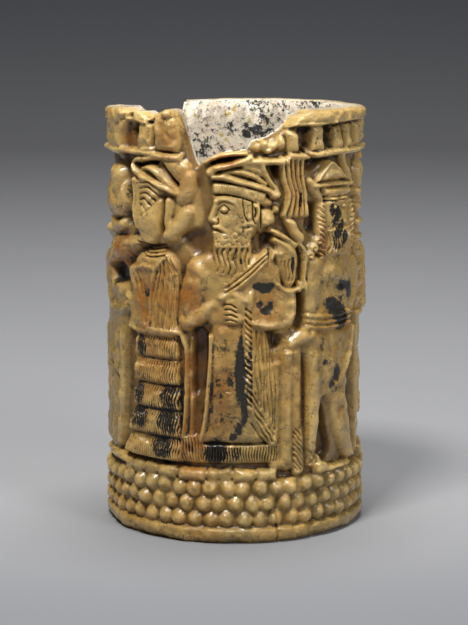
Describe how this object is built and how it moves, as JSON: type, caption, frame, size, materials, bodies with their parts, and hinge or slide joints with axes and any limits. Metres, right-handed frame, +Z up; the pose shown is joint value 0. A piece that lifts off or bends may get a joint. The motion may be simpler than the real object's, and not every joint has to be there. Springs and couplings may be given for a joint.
{
  "type": "cylinder seal",
  "caption": "Thick-walled open stone cylinder carved all round in high relief with standing figures, rows of bosses and a plain base band; its rim is broken.",
  "frame": {"origin": "centre of the underside, on the cylinder's axis", "axes": "+Z up along the axis of the cylinder, -Y out of the worn face that the picture shows, +X to the right of that face"},
  "size_m": [0.0383, 0.0384, 0.061],
  "materials": {
    "honey_stone": "waxy, hand polished, worn"
  },
  "bodies": {
    "root": {"seal_body": "honey_stone"}
  },
  "joints": []
}
